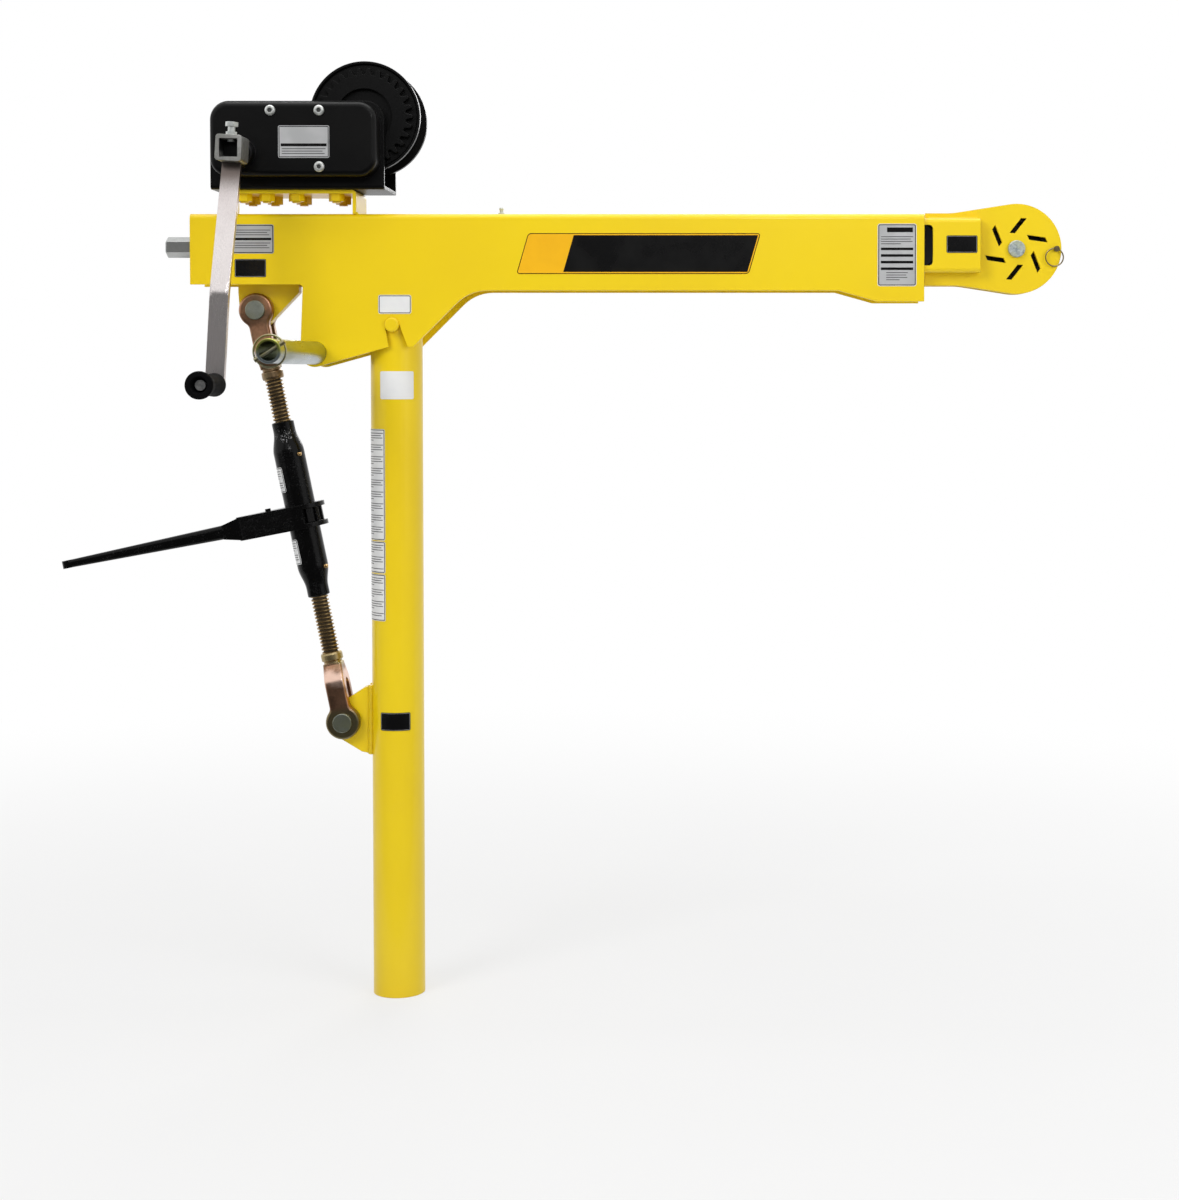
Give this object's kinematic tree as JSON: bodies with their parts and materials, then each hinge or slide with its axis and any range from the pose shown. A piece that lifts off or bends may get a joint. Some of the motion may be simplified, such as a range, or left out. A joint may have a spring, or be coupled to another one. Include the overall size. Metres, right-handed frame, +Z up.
{
  "type": "davit crane",
  "caption": "Hand-cranked davit crane: round mast, tilting telescoping boom with head sheave, drum winch with crank and a ratchet turnbuckle brace.",
  "frame": {"origin": "middle of the flat foot of the mast", "axes": "+Z up the mast, +X along the boom towards its head, the winch's crank on the -Y side"},
  "size_m": [1.4177, 0.4124, 1.3165],
  "materials": {
    "yellow_paint": "gloss",
    "black_paint": "satin",
    "zinc_plate": "satin",
    "yellow_zinc": "satin",
    "aluminium": "brushed",
    "black_plastic": "matt",
    "dark_nylon": "matt"
  },
  "bodies": {
    "mast": {"mast_tube": "yellow_paint", "foot_plug": "yellow_paint", "mast_pin": "yellow_paint", "mast_lug": "yellow_paint", "lower_pin": "zinc_plate"},
    "boom": {"boom_shell": "yellow_paint", "boom_floor": "yellow_paint", "rear_plate": "yellow_paint", "boom_lug": "yellow_paint", "pull_tube": "zinc_plate", "pull_pin": "yellow_zinc", "grease_nipple": "zinc_plate", "winch_stand": "yellow_paint", "stand_bolts": "yellow_paint", "winch_frame": "black_paint", "winch_cover": "black_paint", "cover_screws": "zinc_plate", "drum_axle": "zinc_plate"},
    "drive_shaft": {"drive_shaft": "zinc_plate"},
    "inner_boom": {"inner_tube": "yellow_paint", "head_plate_near": "yellow_paint", "head_plate_far": "yellow_paint", "sheave_bolt": "zinc_plate", "keeper_pin": "zinc_plate"},
    "sheave": {"sheave": "dark_nylon"},
    "lower_screw": {"lower_screw": "yellow_zinc", "lower_rod": "yellow_zinc"},
    "barrel": {"turnbuckle_barrel": "black_paint", "ratchet_gear": "black_paint"},
    "ratchet_handle": {"ratchet_handle": "black_paint", "ratchet_pawl": "black_paint"},
    "upper_screw": {"upper_screw": "yellow_zinc", "upper_rod": "yellow_zinc", "upper_pin": "zinc_plate"},
    "drum": {"drum_core": "black_paint", "near_flange": "black_paint", "far_flange": "black_paint", "ring_gear": "black_paint"},
    "crank": {"input_shaft": "zinc_plate", "crank_hub": "zinc_plate", "hub_bolt": "zinc_plate", "crank_arm": "aluminium", "grip_spindle": "zinc_plate"},
    "crank_grip": {"crank_grip": "black_plastic"}
  },
  "joints": [
    {"name": "boom_tilt", "type": "hinge", "parent": "mast", "child": "boom", "pos_m": [0, 0, 0.95], "axis": [0, -1, 0], "range_deg": [0, 32]},
    {"name": "turnbuckle_swing", "type": "hinge", "parent": "mast", "child": "lower_screw", "pos_m": [-0.0754, 0, 0.3885], "axis": [0, -1, 0], "range_deg": [-1, 1]},
    {"name": "lower_thread", "type": "slide", "parent": "lower_screw", "child": "barrel", "axis": [0.2005, 0, -0.9797], "range_m": [0, 0.0545]},
    {"name": "upper_thread", "type": "slide", "parent": "barrel", "child": "upper_screw", "axis": [0.2005, 0, -0.9797], "range_m": [0, 0.0545]},
    {"name": "handle_swing", "type": "hinge", "parent": "barrel", "child": "ratchet_handle", "pos_m": [-0.13492, 0, 0.67937], "axis": [-0.2005, 0, 0.9797], "range_deg": [-140, 140]},
    {"name": "boom_extend", "type": "slide", "parent": "boom", "child": "inner_boom", "axis": [1, 0, 0], "range_m": [0, 0.61]},
    {"name": "drive_turn", "type": "hinge", "parent": "boom", "child": "drive_shaft", "pos_m": [-0.281, 0, 1.06], "axis": [1, 0, 0], "continuous": true},
    {"name": "sheave_spin", "type": "hinge", "parent": "inner_boom", "child": "sheave", "pos_m": [0.8745, 0, 1.057], "axis": [0, 1, 0], "continuous": true},
    {"name": "drum_spin", "type": "hinge", "parent": "boom", "child": "drum", "pos_m": [-0.0373, 0, 1.2395], "axis": [0, 1, 0], "continuous": true},
    {"name": "crank_spin", "type": "hinge", "parent": "boom", "child": "crank", "pos_m": [-0.2005, 0, 1.1843], "axis": [0, 1, 0], "continuous": true},
    {"name": "grip_spin", "type": "hinge", "parent": "crank", "child": "crank_grip", "pos_m": [-0.21936, 0, 0.86686], "axis": [0, 1, 0], "continuous": true}
  ],
  "couplings": [
    {"joint": "turnbuckle_swing", "follows": "boom_tilt", "ratio": 0.01405},
    {"joint": "lower_thread", "follows": "boom_tilt", "m_per_rad": 0.094498},
    {"joint": "upper_thread", "follows": "boom_tilt", "m_per_rad": 0.094498},
    {"joint": "drive_turn", "follows": "boom_extend", "rad_per_m": 628.32},
    {"joint": "crank_spin", "follows": "drum_spin", "ratio": 4}
  ]
}
